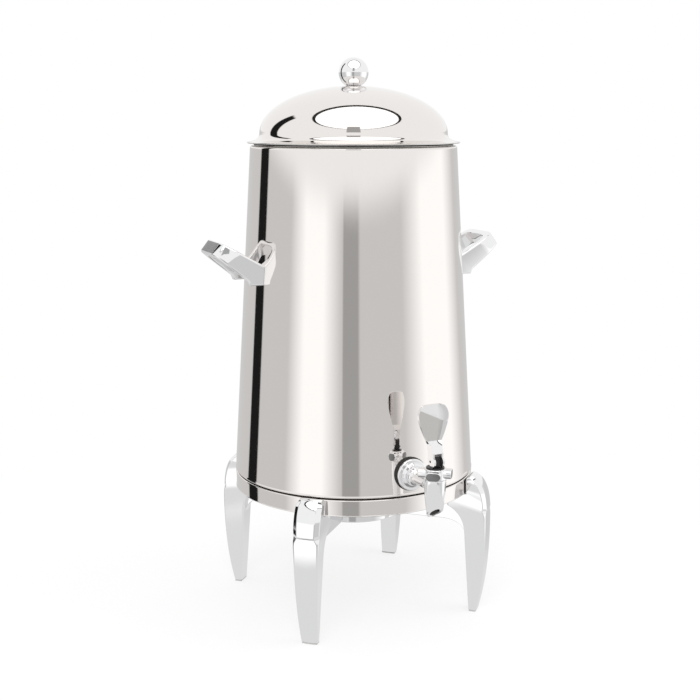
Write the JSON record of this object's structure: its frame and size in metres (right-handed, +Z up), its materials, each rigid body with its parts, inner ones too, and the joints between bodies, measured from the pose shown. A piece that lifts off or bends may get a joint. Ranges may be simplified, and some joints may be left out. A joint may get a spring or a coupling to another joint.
{
  "type": "insulated coffee urn",
  "caption": "Tapered double-walled coffee urn on cast legs, with a lift-off domed lid with a ball knob, a pair of side loop handles and a self-closing lever faucet.",
  "frame": {"origin": "centre of the foot circle on the table plane, on the body's axis", "axes": "+Z up along the body's axis, the faucet points along -Y, the right-hand handle lies towards +X (turned 3 degrees towards the faucet)"},
  "size_m": [0.3796, 0.3765, 0.683],
  "materials": {
    "polished_steel": "mirror-polished stainless steel",
    "plain_steel": "bright rolled stainless steel",
    "fastener_steel": "plain stainless fasteners",
    "chrome_casting": "polished chromed casting",
    "seal_rubber": "black food-grade rubber",
    "pale_rubber": "pale grey rubber",
    "black_nylon": "black nylon",
    "foam": "insulating foam"
  },
  "bodies": {
    "urn": {"outer_shell": "polished_steel", "base_band": "polished_steel", "shell_bottom": "plain_steel", "inner_liner": "plain_steel", "vacuum_cap": "plain_steel", "base_plate": "plain_steel", "outlet_tube": "plain_steel", "tie_studs": "fastener_steel", "tie_spacers": "fastener_steel", "tie_nuts": "fastener_steel", "handle_studs": "fastener_steel", "handle_set_screws": "fastener_steel", "inner_nut": "fastener_steel", "hub_screws": "fastener_steel", "plate_screws": "fastener_steel", "head_screws": "fastener_steel", "faucet_spring": "fastener_steel", "handle_right": "chrome_casting", "handle_left": "chrome_casting", "flange_nut": "chrome_casting", "faucet_body": "chrome_casting", "bonnet": "chrome_casting", "leg_front_left": "chrome_casting", "leg_front_right": "chrome_casting", "leg_back_right": "chrome_casting", "leg_back_left": "chrome_casting", "stand_hub": "chrome_casting", "base_seal": "seal_rubber", "outlet_gasket": "seal_rubber", "inner_washer": "seal_rubber", "foot_glides": "pale_rubber", "stem_seal": "black_nylon"},
    "lid": {"lid_dome": "polished_steel", "lid_pan": "plain_steel", "lid_insulation": "foam", "lid_gasket": "seal_rubber", "lid_knob": "chrome_casting", "knob_screw": "fastener_steel", "knob_washer": "fastener_steel"},
    "stem": {"valve_stem": "black_nylon", "seat_cup": "seal_rubber", "lever_pin": "fastener_steel"},
    "lever": {"lever": "chrome_casting"}
  },
  "joints": [
    {"name": "lid_lift", "type": "slide", "parent": "urn", "child": "lid", "axis": [0, 0, 1], "range_m": [0, 0.12]},
    {"name": "stem_lift", "type": "slide", "parent": "urn", "child": "stem", "axis": [0, 0, 1], "range_m": [0, 0.0022], "deforming": ["faucet_spring"]},
    {"name": "lever_tilt", "type": "hinge", "parent": "stem", "child": "lever", "pos_m": [0, -0.20604, 0.2329], "axis": [1, 0, 0], "range_deg": [0, 35], "stiffness_Nm_per_rad": 0.12, "springref_deg": -20.05}
  ],
  "couplings": [
    {"joint": "stem_lift", "follows": "lever_tilt", "m_per_rad": 0.0035}
  ]
}
